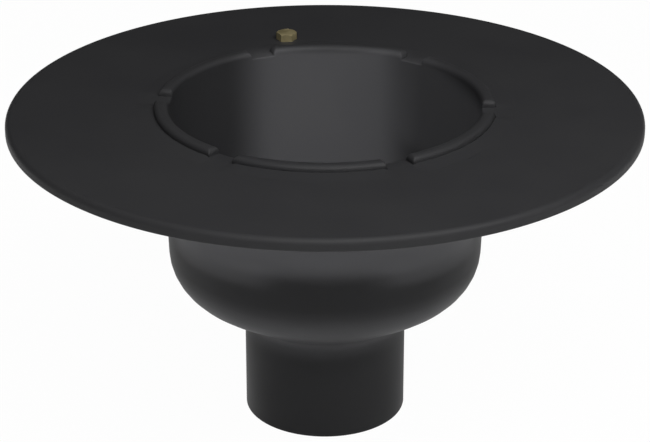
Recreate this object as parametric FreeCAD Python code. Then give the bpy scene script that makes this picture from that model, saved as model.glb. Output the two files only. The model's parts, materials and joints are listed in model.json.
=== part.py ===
import FreeCAD, Part
import math
import os

# Floor drain body: a wide flange, a raised collar in six segments round the throat,
# a deep bowl with a sloping floor and an outlet spigot, cast as one piece.
# A brass earthing screw sits in a tapped hole of the flange.
# Millimetres and degrees. The origin is the centre of the spigot's lower end, +Z is up.
# Bearings are seen from above, counted from +X towards +Y.

# Flange
FLANGE_DIAMETER = 422.0
FLANGE_THICKNESS = 8.0
FLANGE_TOP = 220.0
RIM_TOP_ROUND = 4.0
RIM_UNDER_BEVEL = 0.8
NECK_TAPER = 10.0

# Throat and bowl
THROAT_DIAMETER = 208.0
BOWL_WALL = 5.5
WALL_DRAFT = 2.0
BOWL_CORNER = 34.5
FLOOR_SLOPE = 30.0

# Outlet spigot
SPIGOT_DIAMETER = 110.0
SPIGOT_WALL = 5.0
SPIGOT_LENGTH = 71.0
SPIGOT_FILLET = 10.0
SPIGOT_END_BEVEL = 1.0
OUTLET_BEVEL = 4.0

# Collar segments on the flange, with a low ramp at their outer foot
COLLAR_SEGMENTS = 6
COLLAR_THICKNESS = 9.5
COLLAR_HEIGHT = 4.8
COLLAR_ROUND = 3.5
RAMP_WIDTH = 12.5
RAMP_HEIGHT = 0.8
GAP_ANGLE = 9.0
GAP_BEARING = 54.6

# Earthing screw
SCREW_DIAMETER = 8.0
SCREW_LENGTH = 12.0
SCREW_POINT = 1.0
HEAD_FLATS = 13.0
HEAD_HEIGHT = 5.3
HEAD_CHAMFER = 30.0
SCREW_CIRCLE_RADIUS = 135.7
SCREW_BEARING = 101.7
SCREW_CLEARANCE = 0.1

# Room by which a cutting solid runs past what it cuts
CUT_MARGIN = 5.0

AXIS_FOOT = FreeCAD.Vector(0, 0, 0)
UPWARD = FreeCAD.Vector(0, 0, 1)


def tangent(angle):
    return math.tan(math.radians(angle))


def cosine(angle):
    return math.cos(math.radians(angle))


def rounded_corner(before, corner, after, radius):
    """Start, middle and end of the arc that rounds one corner of an outline."""
    towards_before = (before - corner).normalize()
    towards_after = (after - corner).normalize()
    half_angle = towards_before.getAngle(towards_after) / 2
    inward = (towards_before + towards_after).normalize()
    reach = radius / math.tan(half_angle)
    middle = corner + inward * (radius / math.sin(half_angle) - radius)
    return corner + towards_before * reach, middle, corner + towards_after * reach


def outline_face(corners):
    """Flat face in the XZ plane from corners given as (radius, height, rounding)."""
    points = [FreeCAD.Vector(radius, 0, height) for radius, height, rounding in corners]
    arcs = []
    for index, corner in enumerate(points):
        rounding = corners[index][2]
        after = points[(index + 1) % len(points)]
        if rounding:
            arcs.append(rounded_corner(points[index - 1], corner, after, rounding))
        else:
            arcs.append((corner, corner, corner))
    edges = []
    for index, (start, middle, end) in enumerate(arcs):
        if corners[index][2]:
            edges.append(Part.Arc(start, middle, end).toShape())
        following_start = arcs[(index + 1) % len(arcs)][0]
        edges.append(Part.LineSegment(end, following_start).toShape())
    return Part.Face(Part.Wire(edges))


def turned(corners, angle=360.0):
    """Solid turned about the drain's axis, from the +X side round towards +Y."""
    return outline_face(corners).revolve(AXIS_FOOT, UPWARD, angle)


def throat_radius(height):
    """Inside of the bowl wall, which narrows downwards by its casting draft."""
    return THROAT_DIAMETER / 2 + (height - FLANGE_TOP) * tangent(WALL_DRAFT)


def wall_outside_radius(height):
    return throat_radius(height) + BOWL_WALL / cosine(WALL_DRAFT)


def floor_underside(radius):
    """Height of the bowl floor's underside, which rises outwards from the spigot."""
    return SPIGOT_LENGTH + (radius - SPIGOT_DIAMETER / 2) * tangent(FLOOR_SLOPE)


def floor_top(radius):
    return floor_underside(radius) + BOWL_WALL / cosine(FLOOR_SLOPE)


def wall_meets_floor(wall_radius, floor_height):
    """Corner where a wall line and a floor line, both straight, cross."""
    radius_at_origin = wall_radius(0)
    height_at_axis = floor_height(0)
    lean = tangent(WALL_DRAFT)
    slope = tangent(FLOOR_SLOPE)
    height = (height_at_axis + slope * radius_at_origin) / (1 - slope * lean)
    return radius_at_origin + lean * height, height


def collar_outside_radius():
    return THROAT_DIAMETER / 2 + COLLAR_THICKNESS


def ramp_outside_radius():
    return collar_outside_radius() + RAMP_WIDTH


def soft_edge(wall, top, inward):
    """Round between a collar wall and its top, as three chamfers that mesh lightly."""
    points = []
    for turn in (0, 30, 60, 90):
        angle = math.radians(turn)
        away = COLLAR_ROUND * (1 - math.cos(angle))
        down = COLLAR_ROUND * (1 - math.sin(angle))
        points.append((wall + inward * away, top - down, 0))
    return points


def casting_outline():
    """Half section of the casting, with the collar still a whole ring."""
    rim = FLANGE_DIAMETER / 2
    flange_under = FLANGE_TOP - FLANGE_THICKNESS
    neck_foot = flange_under - NECK_TAPER
    collar_top = FLANGE_TOP + COLLAR_HEIGHT
    collar_inside = throat_radius(collar_top - COLLAR_ROUND)
    collar_outside = collar_outside_radius()
    spigot = SPIGOT_DIAMETER / 2
    bore = spigot - SPIGOT_WALL
    outlet_lip = bore + OUTLET_BEVEL
    corner_outside = wall_meets_floor(wall_outside_radius, floor_underside)
    corner_inside = wall_meets_floor(throat_radius, floor_top)
    return [
        *soft_edge(collar_inside, collar_top, 1),
        *reversed(soft_edge(collar_outside, collar_top, -1)),
        (collar_outside, FLANGE_TOP + RAMP_HEIGHT, 0),
        (ramp_outside_radius(), FLANGE_TOP, 0),
        (rim, FLANGE_TOP, RIM_TOP_ROUND),
        (rim, flange_under + RIM_UNDER_BEVEL, 0),
        (rim - RIM_UNDER_BEVEL, flange_under, 0),
        (wall_outside_radius(neck_foot) + NECK_TAPER, flange_under, 0),
        (wall_outside_radius(neck_foot), neck_foot, 0),
        (*corner_outside, BOWL_CORNER),
        (spigot, floor_underside(spigot), SPIGOT_FILLET),
        (spigot, SPIGOT_END_BEVEL, 0),
        (spigot - SPIGOT_END_BEVEL, 0, 0),
        (bore, 0, 0),
        (bore, floor_top(outlet_lip) - OUTLET_BEVEL, 0),
        (outlet_lip, floor_top(outlet_lip), 0),
        (*corner_inside, BOWL_CORNER - BOWL_WALL),
    ]


def collar_gap(number):
    """Sector that opens the collar ring down to the flange top."""
    inside = throat_radius(FLANGE_TOP) - CUT_MARGIN
    outside = ramp_outside_radius() + CUT_MARGIN
    above = FLANGE_TOP + COLLAR_HEIGHT + CUT_MARGIN
    gap = turned(
        [
            (inside, FLANGE_TOP, 0),
            (outside, FLANGE_TOP, 0),
            (outside, above, 0),
            (inside, above, 0),
        ],
        GAP_ANGLE,
    )
    bearing = GAP_BEARING + number * 360.0 / COLLAR_SEGMENTS - GAP_ANGLE / 2
    gap.rotate(AXIS_FOOT, UPWARD, bearing)
    return gap


def screw_seat():
    """Point on the flange top where the screw's axis stands."""
    angle = math.radians(SCREW_BEARING)
    across = SCREW_CIRCLE_RADIUS * math.cos(angle)
    back = SCREW_CIRCLE_RADIUS * math.sin(angle)
    return FreeCAD.Vector(across, back, FLANGE_TOP)


def screw_hole():
    top = screw_seat() + UPWARD * CUT_MARGIN
    depth = FLANGE_THICKNESS + 2 * CUT_MARGIN
    radius = SCREW_DIAMETER / 2 + SCREW_CLEARANCE
    return Part.makeCylinder(radius, depth, top, -UPWARD)


def drain_body():
    """The casting, turned in two halves because a half rim meshes lighter than a whole one."""
    half = turned(casting_outline(), 180)
    casting = half.fuse(half.rotated(AXIS_FOOT, UPWARD, 180))
    gaps = [collar_gap(number) for number in range(COLLAR_SEGMENTS)]
    return casting.cut(gaps + [screw_hole()])


def hexagon_prism(flats, height):
    corner_radius = flats / 2 / cosine(30)
    corners = []
    for side in range(7):
        angle = math.radians(60 * side)
        corners.append(FreeCAD.Vector(math.cos(angle), math.sin(angle), 0) * corner_radius)
    return Part.Face(Part.makePolygon(corners)).extrude(UPWARD * height)


def earthing_screw():
    """Hexagon head with chamfered corners on a plain shank with a bevelled point."""
    corner_radius = HEAD_FLATS / 2 / cosine(30)
    chamfer_drop = (corner_radius - HEAD_FLATS / 2) * tangent(HEAD_CHAMFER)
    chamfer_envelope = turned(
        [
            (0, 0, 0),
            (corner_radius, 0, 0),
            (corner_radius, HEAD_HEIGHT - chamfer_drop, 0),
            (HEAD_FLATS / 2, HEAD_HEIGHT, 0),
            (0, HEAD_HEIGHT, 0),
        ]
    )
    shank_radius = SCREW_DIAMETER / 2
    shank = turned(
        [
            (0, 0, 0),
            (0, -SCREW_LENGTH, 0),
            (shank_radius - SCREW_POINT, -SCREW_LENGTH, 0),
            (shank_radius, SCREW_POINT - SCREW_LENGTH, 0),
            (shank_radius, 0, 0),
        ]
    )
    head = hexagon_prism(HEAD_FLATS, HEAD_HEIGHT).common(chamfer_envelope)
    screw = head.fuse(shank).removeSplitter()
    screw.translate(screw_seat())
    return screw


def main():
    os.makedirs("parts", exist_ok=True)
    pieces = {"drain_body": drain_body(), "earthing_screw": earthing_screw()}
    for name, shape in pieces.items():
        solid = shape.Solids[0]
        solid.exportStep(os.path.join("parts", name + ".step"))
        box = solid.BoundBox
        print(name, "valid", solid.isValid(), "solids", len(shape.Solids),
              "volume", round(solid.Volume), "height", box.ZMin, box.ZMax)


main()
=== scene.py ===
import json
import math

import bmesh
import bpy
from mathutils import Matrix, Vector


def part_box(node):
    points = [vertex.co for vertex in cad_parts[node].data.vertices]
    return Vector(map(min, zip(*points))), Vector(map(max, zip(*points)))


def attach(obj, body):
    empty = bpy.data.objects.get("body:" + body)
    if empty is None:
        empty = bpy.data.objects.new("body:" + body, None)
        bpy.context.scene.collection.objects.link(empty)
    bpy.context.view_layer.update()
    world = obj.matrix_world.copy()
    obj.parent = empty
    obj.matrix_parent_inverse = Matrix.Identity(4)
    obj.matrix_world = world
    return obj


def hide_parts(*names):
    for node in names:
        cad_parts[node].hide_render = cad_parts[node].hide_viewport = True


# A black coated cast-iron floor drain body with a brass earthing screw.
# Metres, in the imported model's frame: origin at the spigot's lower end, +Z up.

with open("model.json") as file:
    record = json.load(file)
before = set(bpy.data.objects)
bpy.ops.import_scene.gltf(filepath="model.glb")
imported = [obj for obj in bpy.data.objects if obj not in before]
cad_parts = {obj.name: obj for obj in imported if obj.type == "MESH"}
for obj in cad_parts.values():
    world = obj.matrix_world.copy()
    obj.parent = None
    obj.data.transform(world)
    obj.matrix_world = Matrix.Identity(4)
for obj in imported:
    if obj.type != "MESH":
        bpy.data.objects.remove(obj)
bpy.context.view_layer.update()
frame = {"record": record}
mounts = {mount["name"]: mount for mount in frame["record"]["mounts"]}
body_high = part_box("drain_body")[1]
screw_low, screw_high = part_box("earthing_screw")

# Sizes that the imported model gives
RIM_RADIUS = body_high.x
COLLAR_TOP = body_high.z
FLANGE_UNDER = mounts["flange_bed"]["pos_m"][2]
SPIGOT_RADIUS = mounts["spigot_outside"]["dims"]["r_mm"] / 1000
BORE_RADIUS = mounts["outlet_bore"]["dims"]["r_mm"] / 1000
SCREW_SEAT = Vector(mounts["earth_terminal"]["pos_m"])
FLANGE_TOP = SCREW_SEAT.z

# Sizes of the casting's section
RIM_TOP_ROUND = 0.004
RIM_UNDER_ROUND = 0.0012
NECK_FILLET = 0.012
THROAT_RADIUS = 0.104
BOWL_WALL = 0.0055
WALL_DRAFT = math.radians(2)
BOWL_CORNER = 0.0345
FLOOR_SLOPE = math.radians(30)
SPIGOT_LENGTH = 0.071
SPIGOT_FILLET = 0.010
SPIGOT_END_ROUND = 0.0010
OUTLET_ROUND = 0.006

# Collar segments, with a low ramp at their outer foot
COLLAR_SEGMENTS = 6
SEGMENT_PITCH = math.tau / COLLAR_SEGMENTS
COLLAR_THICKNESS = 0.0095
COLLAR_OUTSIDE = THROAT_RADIUS + COLLAR_THICKNESS
RAMP_WIDTH = 0.0125
RAMP_OUTSIDE = COLLAR_OUTSIDE + RAMP_WIDTH
RAMP_HEIGHT = 0.0008
GAP_ANGLE = math.radians(9)
GAP_BEARING = math.radians(54.6)
COLLAR_ROUND = 0.0035
COLLAR_ROUND_STEPS = 6
COLLAR_EDGE_ANGLE = math.radians(60)
COLLAR_END_ROUND = 0.0008
COLLAR_END_STEPS = 3
COLLAR_END_ANGLE = math.radians(40)

# Earthing screw, measured from the flange top
HEAD_SIDES = 6
HEAD_CORNER_RADIUS = (screw_high.x - screw_low.x) / 2
HEAD_HALF_FLATS = HEAD_CORNER_RADIUS * math.cos(math.radians(30))
HEAD_TOP = screw_high.z - FLANGE_TOP
HEAD_CHAMFER = math.radians(30)
CHAMFER_CUTS = 48
HEAD_EDGE_ROUND = 0.0002
HEAD_EDGE_STEPS = 2
SCREW_END = screw_low.z - FLANGE_TOP
THREAD_TOP = HEAD_TOP / 2
THREAD_CREST = 0.0040
THREAD_ROOT = 0.00332
THREAD_PITCH = 0.00125
THREAD_STEPS = 36

# Where the crest of a thread's tooth starts and ends, as shares of the pitch
CREST_START = 0.44
CREST_END = 0.56

# The thread is wound past both ends, so that the cuts there meet whole turns
PITCHES_BELOW_END = 1.6
SPARE_TURNS = 3

# Fineness of the turned mesh: the gaps and the segments are whole numbers of steps
TURN_STEPS = 240
TURN_STEP = math.tau / TURN_STEPS
ARC_STEP = math.radians(9)
LEAST_ARC_STEPS = 3
HOLD_DISTANCE = 0.0010
HELD_RUN = 0.012
MERGE_DISTANCE = 1e-6
SMOOTH_LIMIT = math.radians(32)

# Range in which nearly all values of a noise lie
NOISE_LOW = 0.3
NOISE_HIGH = 0.7

# Sockets of a mix node that are for colours
MIX_SHARE = 0
MIX_FIRST = 6
MIX_SECOND = 7
MIX_RESULT = 2

# Floor, and the share of its look that is plain white, the rest being lit and shadowed
FLOOR_HALF_WIDTH = 20
FLOOR_WHITE_SHARE = 0.98

# Overhead glow: the height on a unit sphere where it starts and where it is full
GLOW_START = 0.80
GLOW_FULL = 0.92
GLOW_STRENGTH = 0.35

# Bearings of the lamps that stand round the drain, in degrees
ALL_ROUND = range(0, 360, 45)
DIAGONALS = range(45, 360, 90)

# Camera that gives the photograph's view
CAMERA_PLACE = Vector((0.0, -1.40488, 0.77199))
CAMERA_TILT = math.radians(65.67)
CAMERA_LENS = 125.833
CAMERA_CLIP_END = 100
SENSOR_WIDTH = 36.0

AXIS_FOOT = Vector((0, 0, 0))
UPWARD = Vector((0, 0, 1))
SECTION_NORMAL = Vector((0, 1, 0))


def throat_radius(height):
    return THROAT_RADIUS + (height - FLANGE_TOP) * math.tan(WALL_DRAFT)


def wall_outside_radius(height):
    return throat_radius(height) + BOWL_WALL / math.cos(WALL_DRAFT)


def floor_underside(radius):
    return SPIGOT_LENGTH + (radius - SPIGOT_RADIUS) * math.tan(FLOOR_SLOPE)


def floor_top(radius):
    return floor_underside(radius) + BOWL_WALL / math.cos(FLOOR_SLOPE)


def wall_meets_floor(wall_radius, floor_height):
    """Corner where a wall line and a floor line of the section cross."""
    lean = math.tan(WALL_DRAFT)
    slope = math.tan(FLOOR_SLOPE)
    height = (floor_height(0) + slope * wall_radius(0)) / (1 - slope * lean)
    return wall_radius(0) + lean * height, height


def casting_section():
    """Corners (radius, height, rounding) of the half section, without the collar."""
    return [
        (THROAT_RADIUS, FLANGE_TOP, 0),
        (COLLAR_OUTSIDE, FLANGE_TOP, 0),
        (RAMP_OUTSIDE, FLANGE_TOP, 0),
        (RIM_RADIUS, FLANGE_TOP, RIM_TOP_ROUND),
        (RIM_RADIUS, FLANGE_UNDER, RIM_UNDER_ROUND),
        (wall_outside_radius(FLANGE_UNDER), FLANGE_UNDER, NECK_FILLET),
        (*wall_meets_floor(wall_outside_radius, floor_underside), BOWL_CORNER),
        (SPIGOT_RADIUS, floor_underside(SPIGOT_RADIUS), SPIGOT_FILLET),
        (SPIGOT_RADIUS, 0, SPIGOT_END_ROUND),
        (BORE_RADIUS, 0, SPIGOT_END_ROUND),
        (BORE_RADIUS, floor_top(BORE_RADIUS), OUTLET_ROUND),
        (*wall_meets_floor(throat_radius, floor_top), BOWL_CORNER - BOWL_WALL),
    ]


def corner_arc(before, corner, after, rounding):
    """Start, centre and signed turn of the arc that rounds a corner of the section."""
    back = (before - corner).normalized()
    onward = (after - corner).normalized()
    half_angle = back.angle(onward) / 2
    start = corner + back * rounding / math.tan(half_angle)
    centre = corner + (back + onward).normalized() * rounding / math.sin(half_angle)
    turn = math.pi - 2 * half_angle
    if onward.cross(back).dot(SECTION_NORMAL) < 0:
        turn = -turn
    return start, centre, turn


def run_to(mesh, tip, place):
    """Extends the outline from its tip to a place, with points that hold the run straight."""
    if tip is None:
        return mesh.verts.new(place)
    run = place - tip.co
    stops = [place]
    if run.length > HELD_RUN:
        hold = run.normalized() * HOLD_DISTANCE
        stops = [tip.co + hold, place - hold, place]
    for stop in stops:
        tip = bmesh.ops.extrude_vert_indiv(mesh, verts=[tip])["verts"][0]
        tip.co = stop
    return tip


def draw_section(mesh, corners):
    """Closed outline in the XZ plane, with each rounded corner swept as an arc."""
    places = [Vector((radius, 0, height)) for radius, height, rounding in corners]
    tip = None
    for index, place in enumerate(places):
        rounding = corners[index][2]
        if not rounding:
            tip = run_to(mesh, tip, place)
            continue
        following = places[(index + 1) % len(places)]
        start, centre, turn = corner_arc(places[index - 1], place, following, rounding)
        tip = run_to(mesh, tip, start)
        steps = max(LEAST_ARC_STEPS, round(abs(turn) / ARC_STEP))
        swept = bmesh.ops.spin(
            mesh, geom=[tip], cent=centre, axis=SECTION_NORMAL, angle=turn, steps=steps
        )
        tip = swept["geom_last"][0]
    run_to(mesh, tip, places[0])
    bmesh.ops.remove_doubles(mesh, verts=mesh.verts, dist=MERGE_DISTANCE)


def bearing_in_pitch(place):
    """Bearing of a place from the start of the gap before it."""
    return math.atan2(place.y, place.x) % SEGMENT_PITCH


def way_to_gap(place):
    """Angle from a place on a segment to the nearer of the segment's two ends."""
    past_gap = bearing_in_pitch(place) - GAP_ANGLE
    to_next = SEGMENT_PITCH - GAP_ANGLE - past_gap
    return min(past_gap, to_next)


def segment_faces(mesh, outside):
    """Upward faces of the segments' sectors, from the throat out to a radius."""
    chosen = []
    for face in mesh.faces:
        centre = face.calc_center_median()
        near_top = abs(centre.z - FLANGE_TOP) < 2 * RAMP_HEIGHT
        in_ring = THROAT_RADIUS < centre.xy.length < outside
        if near_top and in_ring and bearing_in_pitch(centre) > GAP_ANGLE:
            chosen.append(face)
    return chosen


def raise_faces(mesh, faces):
    """Extrudes faces in place and returns the new top vertices."""
    raised = bmesh.ops.extrude_face_region(mesh, geom=faces)
    old_faces = [face for face in faces if face.is_valid]
    bmesh.ops.delete(mesh, geom=old_faces, context="FACES")
    return [item for item in raised["geom"] if isinstance(item, bmesh.types.BMVert)]


def lengthen_end_steps(mesh):
    """Drops the first cut beside each gap, which the rounding of the collar's end would cross."""
    chosen = []
    for edge in mesh.edges:
        places = [vert.co for vert in edge.verts]
        on_top = max(place.z for place in places) > COLLAR_TOP - MERGE_DISTANCE
        next_to_end = all(abs(way_to_gap(place) - TURN_STEP) < TURN_STEP / 2 for place in places)
        if on_top and next_to_end:
            chosen.append(edge)
    bmesh.ops.dissolve_edges(mesh, edges=chosen, use_verts=True)


def raise_collar(mesh):
    """Raises the ramps, which run out at the segments' ends, and then the segments."""
    for vert in raise_faces(mesh, segment_faces(mesh, RAMP_OUTSIDE)):
        if way_to_gap(vert.co) > TURN_STEP / 2:
            share = (RAMP_OUTSIDE - vert.co.xy.length) / RAMP_WIDTH
            vert.co.z += RAMP_HEIGHT * min(1, max(0, share))
    bmesh.ops.remove_doubles(mesh, verts=mesh.verts, dist=MERGE_DISTANCE)
    for vert in raise_faces(mesh, segment_faces(mesh, COLLAR_OUTSIDE)):
        vert.co.z = COLLAR_TOP
    lengthen_end_steps(mesh)


def collar_edges(mesh, low, least_angle):
    """Outward edges of the collar, from a height upwards, that are sharper than an angle."""
    limit = COLLAR_OUTSIDE + MERGE_DISTANCE
    chosen = []
    for edge in mesh.edges:
        within = all(vert.co.xy.length < limit for vert in edge.verts)
        above = all(vert.co.z + MERGE_DISTANCE > low for vert in edge.verts)
        if within and above and edge.is_convex and edge.calc_face_angle(0) > least_angle:
            chosen.append(edge)
    return chosen


def round_edges(mesh, edges, rounding, segments):
    bmesh.ops.bevel(
        mesh,
        geom=edges,
        offset=rounding,
        affect="EDGES",
        segments=segments,
        profile=0.5,
        material=-1,
    )


def finished_piece(mesh, name, material):
    """Object at the origin from a bmesh, smooth except at its sharp edges."""
    data = bpy.data.meshes.new(name)
    mesh.to_mesh(data)
    mesh.free()
    data.polygons.foreach_set("use_smooth", [True] * len(data.polygons))
    data.set_sharp_from_angle(angle=SMOOTH_LIMIT)
    data.materials.append(material)
    piece = bpy.data.objects.new(name, data)
    bpy.context.scene.collection.objects.link(piece)
    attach(piece, "root")
    return piece


def build_casting(material):
    """The casting, turned from its section, with the collar raised and rounded on it."""
    mesh = bmesh.new()
    draw_section(mesh, casting_section())
    bmesh.ops.spin(
        mesh,
        geom=mesh.verts[:] + mesh.edges[:],
        cent=AXIS_FOOT,
        axis=UPWARD,
        angle=math.tau,
        steps=TURN_STEPS,
        use_merge=True,
    )
    bmesh.ops.remove_doubles(mesh, verts=mesh.verts, dist=MERGE_DISTANCE)
    bmesh.ops.recalc_face_normals(mesh, faces=mesh.faces)
    raise_collar(mesh)
    bmesh.ops.recalc_face_normals(mesh, faces=mesh.faces)
    top_edges = collar_edges(mesh, COLLAR_TOP, COLLAR_EDGE_ANGLE)
    round_edges(mesh, top_edges, COLLAR_ROUND, COLLAR_ROUND_STEPS)
    end_edges = collar_edges(mesh, FLANGE_TOP, COLLAR_END_ANGLE)
    round_edges(mesh, end_edges, COLLAR_END_ROUND, COLLAR_END_STEPS)
    turn = Matrix.Rotation(GAP_BEARING - GAP_ANGLE / 2, 3, UPWARD)
    bmesh.ops.rotate(mesh, verts=mesh.verts, cent=AXIS_FOOT, matrix=turn)
    piece = finished_piece(mesh, "drain_casting", material)
    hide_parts("drain_body")


def trim(mesh, place, outward):
    """Cuts away what lies outside a plane and closes the cut."""
    cut = bmesh.ops.bisect_plane(
        mesh,
        geom=mesh.verts[:] + mesh.edges[:] + mesh.faces[:],
        plane_co=place,
        plane_no=outward,
        clear_outer=True,
    )
    edges = [item for item in cut["geom_cut"] if isinstance(item, bmesh.types.BMEdge)]
    bmesh.ops.holes_fill(mesh, edges=edges)


def screw_head():
    """Hexagon head with its corners cut off by a cone, standing on the XY plane."""
    mesh = bmesh.new()
    bmesh.ops.create_circle(
        mesh, cap_ends=True, radius=HEAD_CORNER_RADIUS, segments=HEAD_SIDES
    )
    quarter_turn = Matrix.Rotation(math.radians(90), 3, UPWARD)
    bmesh.ops.rotate(mesh, verts=mesh.verts, cent=AXIS_FOOT, matrix=quarter_turn)
    raised = bmesh.ops.extrude_face_region(mesh, geom=mesh.faces[:])
    top = [item for item in raised["geom"] if isinstance(item, bmesh.types.BMVert)]
    bmesh.ops.translate(mesh, verts=top, vec=UPWARD * HEAD_TOP)
    bmesh.ops.recalc_face_normals(mesh, faces=mesh.faces)
    upright = [edge for edge in mesh.edges if edge.verts[0].co.z != edge.verts[1].co.z]
    round_edges(mesh, upright, HEAD_EDGE_ROUND, HEAD_EDGE_STEPS)
    slope = Vector((math.sin(HEAD_CHAMFER), 0, math.cos(HEAD_CHAMFER)))
    for cut in range(CHAMFER_CUTS):
        turn = Matrix.Rotation(math.tau * cut / CHAMFER_CUTS, 3, UPWARD)
        trim(mesh, turn @ Vector((HEAD_HALF_FLATS, 0, HEAD_TOP)), turn @ slope)
    return mesh


def threaded_shank():
    """Shank with its thread wound from one tooth, reaching up into the head."""
    turns = math.ceil((THREAD_TOP - SCREW_END) / THREAD_PITCH) + SPARE_TURNS
    foot = SCREW_END - PITCHES_BELOW_END * THREAD_PITCH
    tooth = [
        (THREAD_ROOT, 0),
        (THREAD_CREST, CREST_START),
        (THREAD_CREST, CREST_END),
        (THREAD_ROOT, 1),
    ]
    thread = bmesh.new()
    tip = None
    for radius, share in tooth:
        tip = run_to(thread, tip, Vector((radius, 0, foot + share * THREAD_PITCH)))
    bmesh.ops.spin(
        thread,
        geom=thread.verts[:] + thread.edges[:],
        cent=AXIS_FOOT,
        axis=UPWARD,
        dvec=UPWARD * THREAD_PITCH / THREAD_STEPS,
        angle=math.tau * turns,
        steps=THREAD_STEPS * turns,
    )
    bmesh.ops.remove_doubles(thread, verts=thread.verts, dist=MERGE_DISTANCE)
    bmesh.ops.recalc_face_normals(thread, faces=thread.faces)
    trim(thread, UPWARD * THREAD_TOP, UPWARD)
    trim(thread, UPWARD * SCREW_END, -UPWARD)
    return thread


def add_mesh(mesh, other):
    """Moves another bmesh into this one."""
    carrier = bpy.data.meshes.new("carrier")
    other.to_mesh(carrier)
    other.free()
    mesh.from_mesh(carrier)
    bpy.data.meshes.remove(carrier)


def build_screw(material):
    mesh = screw_head()
    add_mesh(mesh, threaded_shank())
    bmesh.ops.recalc_face_normals(mesh, faces=mesh.faces)
    bmesh.ops.translate(mesh, verts=mesh.verts, vec=SCREW_SEAT)
    piece = finished_piece(mesh, "brass_screw", material)
    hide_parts("earthing_screw")


def uneven_finish():
    """Node group for what varies over a finish: broad patches and a fine grain."""
    group = bpy.data.node_groups.new("uneven_finish", "ShaderNodeTree")
    for name, kind in (
        ("Place", "NodeSocketVector"),
        ("Patch Scale", "NodeSocketFloat"),
        ("Grain Scale", "NodeSocketFloat"),
    ):
        group.interface.new_socket(name=name, in_out="INPUT", socket_type=kind)
    for name in ("Patches", "Grain"):
        group.interface.new_socket(name=name, in_out="OUTPUT", socket_type="NodeSocketFloat")
    entry = group.nodes.new("NodeGroupInput")
    leave = group.nodes.new("NodeGroupOutput")
    for scale, result, detail in (("Patch Scale", "Patches", 3), ("Grain Scale", "Grain", 2)):
        noise = group.nodes.new("ShaderNodeTexNoise")
        noise.inputs["Detail"].default_value = detail
        group.links.new(entry.outputs["Place"], noise.inputs["Vector"])
        group.links.new(entry.outputs[scale], noise.inputs["Scale"])
        group.links.new(noise.outputs["Fac"], leave.inputs[result])
    return group


def new_material(name):
    material = bpy.data.materials.new(name)
    material.use_nodes = True
    return material, material.node_tree.nodes, material.node_tree.links


def add_finish(nodes, links, group, patch_scale, grain_scale):
    """Places the uneven finish in a material, on the piece's own coordinates."""
    place = nodes.new("ShaderNodeTexCoord")
    finish = nodes.new("ShaderNodeGroup")
    finish.node_tree = group
    finish.inputs["Patch Scale"].default_value = patch_scale
    finish.inputs["Grain Scale"].default_value = grain_scale
    links.new(place.outputs["Object"], finish.inputs["Place"])
    return finish.outputs["Patches"], finish.outputs["Grain"]


def blend_colours(nodes, links, share, first, second, socket):
    blend = nodes.new("ShaderNodeMix")
    blend.data_type = "RGBA"
    blend.inputs[MIX_FIRST].default_value = (*first, 1)
    blend.inputs[MIX_SECOND].default_value = (*second, 1)
    links.new(share, blend.inputs[MIX_SHARE])
    links.new(blend.outputs[MIX_RESULT], socket)


def spread_values(nodes, links, share, low, high, socket):
    """Stretches a noise over a range of values."""
    spread = nodes.new("ShaderNodeMapRange")
    spread.inputs["From Min"].default_value = NOISE_LOW
    spread.inputs["From Max"].default_value = NOISE_HIGH
    spread.inputs["To Min"].default_value = low
    spread.inputs["To Max"].default_value = high
    links.new(share, spread.inputs["Value"])
    links.new(spread.outputs["Result"], socket)


def add_bump(nodes, links, height, strength, distance, socket):
    bump = nodes.new("ShaderNodeBump")
    bump.inputs["Strength"].default_value = strength
    bump.inputs["Distance"].default_value = distance
    links.new(height, bump.inputs["Height"])
    links.new(bump.outputs["Normal"], socket)


def combine(nodes, links, operation, first, second):
    """Result of a math node on two sockets."""
    node = nodes.new("ShaderNodeMath")
    node.operation = operation
    links.new(first, node.inputs[0])
    links.new(second, node.inputs[1])
    return node.outputs[0]


def black_casting_paint(group):
    """Thin black paint that follows the fine sand grain of the casting."""
    material, nodes, links = new_material("black_casting_paint")
    shader = nodes["Principled BSDF"]
    shader.inputs["Specular IOR Level"].default_value = 0.16
    patches, grain = add_finish(nodes, links, group, patch_scale=16, grain_scale=750)
    blend_colours(
        nodes, links, patches,
        first=(0.026, 0.026, 0.028),
        second=(0.030, 0.030, 0.031),
        socket=shader.inputs["Base Color"],
    )
    spread_values(nodes, links, patches, low=0.50, high=0.60, socket=shader.inputs["Roughness"])
    add_bump(
        nodes, links, grain, strength=0.15, distance=0.0003, socket=shader.inputs["Normal"]
    )
    return material


def dulled_brass(group):
    """Machined brass under a thin dull film that is thicker in patches."""
    material, nodes, links = new_material("dulled_brass")
    shader = nodes["Principled BSDF"]
    patches, grain = add_finish(nodes, links, group, patch_scale=260, grain_scale=2600)
    blend_colours(
        nodes, links, patches,
        first=(0.46, 0.39, 0.20),
        second=(0.34, 0.29, 0.17),
        socket=shader.inputs["Base Color"],
    )
    spread_values(nodes, links, patches, low=0.75, high=0.50, socket=shader.inputs["Metallic"])
    spread_values(nodes, links, patches, low=0.38, high=0.50, socket=shader.inputs["Roughness"])
    add_bump(
        nodes, links, grain, strength=0.10, distance=0.0001, socket=shader.inputs["Normal"]
    )
    return material


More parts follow.
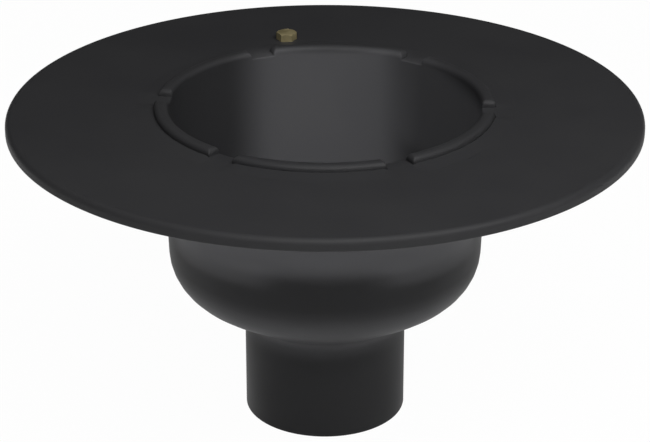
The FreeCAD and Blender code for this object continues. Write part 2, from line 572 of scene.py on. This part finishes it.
def pale_floor():
    """White to the eye and in reflections, with the object's shadow kept on it."""
    material, nodes, links = new_material("pale_floor")
    shader = nodes["Principled BSDF"]
    shader.inputs["Base Color"].default_value = (0.93, 0.93, 0.93, 1)
    shader.inputs["Roughness"].default_value = 0.9
    shader.inputs["Specular IOR Level"].default_value = 0.0
    rays = nodes.new("ShaderNodeLightPath").outputs
    seen = combine(nodes, links, "MAXIMUM", rays["Is Camera Ray"], rays["Is Glossy Ray"])
    seen = combine(nodes, links, "MAXIMUM", seen, rays["Is Transmission Ray"])
    share = nodes.new("ShaderNodeMath")
    share.operation = "MULTIPLY"
    share.inputs[1].default_value = FLOOR_WHITE_SHARE
    links.new(seen, share.inputs[0])
    white = nodes.new("ShaderNodeEmission")
    mix = nodes.new("ShaderNodeMixShader")
    links.new(share.outputs[0], mix.inputs["Fac"])
    links.new(shader.outputs[0], mix.inputs[1])
    links.new(white.outputs[0], mix.inputs[2])
    links.new(mix.outputs[0], nodes["Material Output"].inputs["Surface"])
    return material


def build_floor():
    mesh = bmesh.new()
    bmesh.ops.create_grid(mesh, x_segments=1, y_segments=1, size=FLOOR_HALF_WIDTH)
    data = bpy.data.meshes.new("floor")
    mesh.to_mesh(data)
    mesh.free()
    data.materials.append(pale_floor())
    floor = bpy.data.objects.new("floor", data)
    bpy.context.scene.collection.objects.link(floor)


def add_lamp(name, kind, place, target, energy):
    """Lamp turned towards its target and unseen by the camera."""
    lamp = bpy.data.lights.new(name, kind)
    lamp.energy = energy
    holder = bpy.data.objects.new(name, lamp)
    holder.location = place
    aim = Vector(target) - Vector(place)
    holder.rotation_euler = aim.to_track_quat("-Z", "Y").to_euler()
    holder.visible_camera = False
    bpy.context.scene.collection.objects.link(holder)
    return holder


def light_between_shutters(nodes, links, lean, half_opening, edge):
    """Share of a ray that two shutters let pass, by how far the ray leans to either side."""
    aside = nodes.new("ShaderNodeMath")
    aside.operation = "ABSOLUTE"
    links.new(lean, aside.inputs[0])
    shutter = nodes.new("ShaderNodeMapRange")
    shutter.interpolation_type = "SMOOTHSTEP"
    shutter.inputs["From Min"].default_value = half_opening - edge
    shutter.inputs["From Max"].default_value = half_opening + edge
    shutter.inputs["To Min"].default_value = 1
    shutter.inputs["To Max"].default_value = 0
    links.new(aside.outputs[0], shutter.inputs["Value"])
    return shutter.outputs["Result"]


def add_shuttered_spot(name, place, target, opening, edges, light):
    """Spot behind square shutters: so many watts per square metre where it is aimed.

    The opening's width and height, and how far its edges are soft, are as seen at the target.
    """
    reach = (Vector(target) - Vector(place)).length
    holder = add_lamp(name, "SPOT", place, target, light * 4 * math.pi * reach ** 2)
    holder.visible_glossy = False
    lamp = holder.data
    lamp.shadow_soft_size = 0
    lamp.spot_blend = 0
    lamp.spot_size = 2 * math.atan(sum(opening) / reach)
    lamp.use_nodes = True
    nodes = lamp.node_tree.nodes
    links = lamp.node_tree.links
    direction = nodes.new("ShaderNodeTexCoord")
    split = nodes.new("ShaderNodeSeparateXYZ")
    links.new(direction.outputs["Normal"], split.inputs["Vector"])
    shares = []
    for axis, width, edge in zip("XY", opening, edges):
        lean = combine(nodes, links, "DIVIDE", split.outputs[axis], split.outputs["Z"])
        half_opening = width / 2 / reach
        shares.append(light_between_shutters(nodes, links, lean, half_opening, edge / reach))
    passing = combine(nodes, links, "MULTIPLY", *shares)
    links.new(passing, nodes["Emission"].inputs["Strength"])


def add_spots_round(name, bearings, place, target, opening, edges, light):
    """The same spot at several bearings about the drain's axis, given as it stands on +X."""
    for bearing in bearings:
        turn = Matrix.Rotation(math.radians(bearing), 3, UPWARD)
        turned_place = turn @ Vector(place)
        turned_target = turn @ Vector(target)
        add_shuttered_spot(name, turned_place, turned_target, opening, edges, light)


def light_from_above():
    holder = add_lamp(
        "main_softbox", "AREA", place=(0.30, -0.68, 1.20), target=(0, 0, 0.2), energy=20.6
    )
    softbox = holder.data
    softbox.shape = "RECTANGLE"
    softbox.size = 1.6
    softbox.size_y = 0.7


def light_throat():
    """Beams over the collar on to the back and the right of the inner wall."""
    add_shuttered_spot(
        "throat_spot",
        place=(0, -1.30, 0.95),
        target=(0, THROAT_RADIUS, 0.1675),
        opening=(0.106, 0.097),
        edges=(0.018, 0.0045),
        light=5.0,
    )
    add_shuttered_spot(
        "throat_side_spot",
        place=(-1.0, -0.25, 0.95),
        target=(0.096, 0.040, 0.180),
        opening=(0.116, 0.062),
        edges=(0.010, 0.008),
        light=1.95,
    )


def light_underside():
    """Spots near the floor, all round, that reach in under the flange and the bowl."""
    add_spots_round(
        "under_flange_spot",
        ALL_ROUND,
        place=(0.75, 0, 0.03),
        target=(0.107, 0, 0.175),
        opening=(0.23, 0.062),
        edges=(0.012, 0.006),
        light=2.37,
    )
    add_spots_round(
        "foot_spot",
        ALL_ROUND,
        place=(0.50, 0, 0.029),
        target=(0.0785, 0, 0.0870),
        opening=(0.22, 0.055),
        edges=(0.012, 0.0066),
        light=0.84,
    )
    add_spots_round(
        "bowl_side_spot",
        DIAGONALS,
        place=(0.75, 0, 0.03),
        target=(0.107, 0, 0.1405),
        opening=(0.087, 0.0135),
        edges=(0.014, 0.005),
        light=2.7,
    )


def light_air():
    """Glow overhead that fades out well above the horizon, plain white to the eye."""
    world = bpy.data.worlds.new("studio_air")
    bpy.context.scene.world = world
    world.use_nodes = True
    nodes = world.node_tree.nodes
    links = world.node_tree.links
    direction = nodes.new("ShaderNodeTexCoord")
    split = nodes.new("ShaderNodeSeparateXYZ")
    rise = nodes.new("ShaderNodeMapRange")
    rise.inputs["From Min"].default_value = GLOW_START
    rise.inputs["From Max"].default_value = GLOW_FULL
    rise.inputs["To Max"].default_value = GLOW_STRENGTH
    links.new(direction.outputs["Generated"], split.inputs["Vector"])
    links.new(split.outputs["Z"], rise.inputs["Value"])
    rays = nodes.new("ShaderNodeLightPath").outputs
    seen = combine(nodes, links, "MAXIMUM", rise.outputs["Result"], rays["Is Camera Ray"])
    links.new(seen, nodes["Background"].inputs["Strength"])
    nodes["Background"].inputs["Color"].default_value = (1, 1, 1, 1)


def place_camera():
    data = bpy.data.cameras.new("camera")
    data.lens = CAMERA_LENS
    data.sensor_width = SENSOR_WIDTH
    data.clip_end = CAMERA_CLIP_END
    camera = bpy.data.objects.new("camera", data)
    camera.location = CAMERA_PLACE
    camera.rotation_euler = (CAMERA_TILT, 0, 0)
    bpy.context.scene.collection.objects.link(camera)
    bpy.context.scene.camera = camera


finish_group = uneven_finish()
build_casting(black_casting_paint(finish_group))
build_screw(dulled_brass(finish_group))
build_floor()
light_from_above()
light_throat()
light_underside()
light_air()
place_camera()
bpy.context.scene.view_settings.view_transform = "Standard"
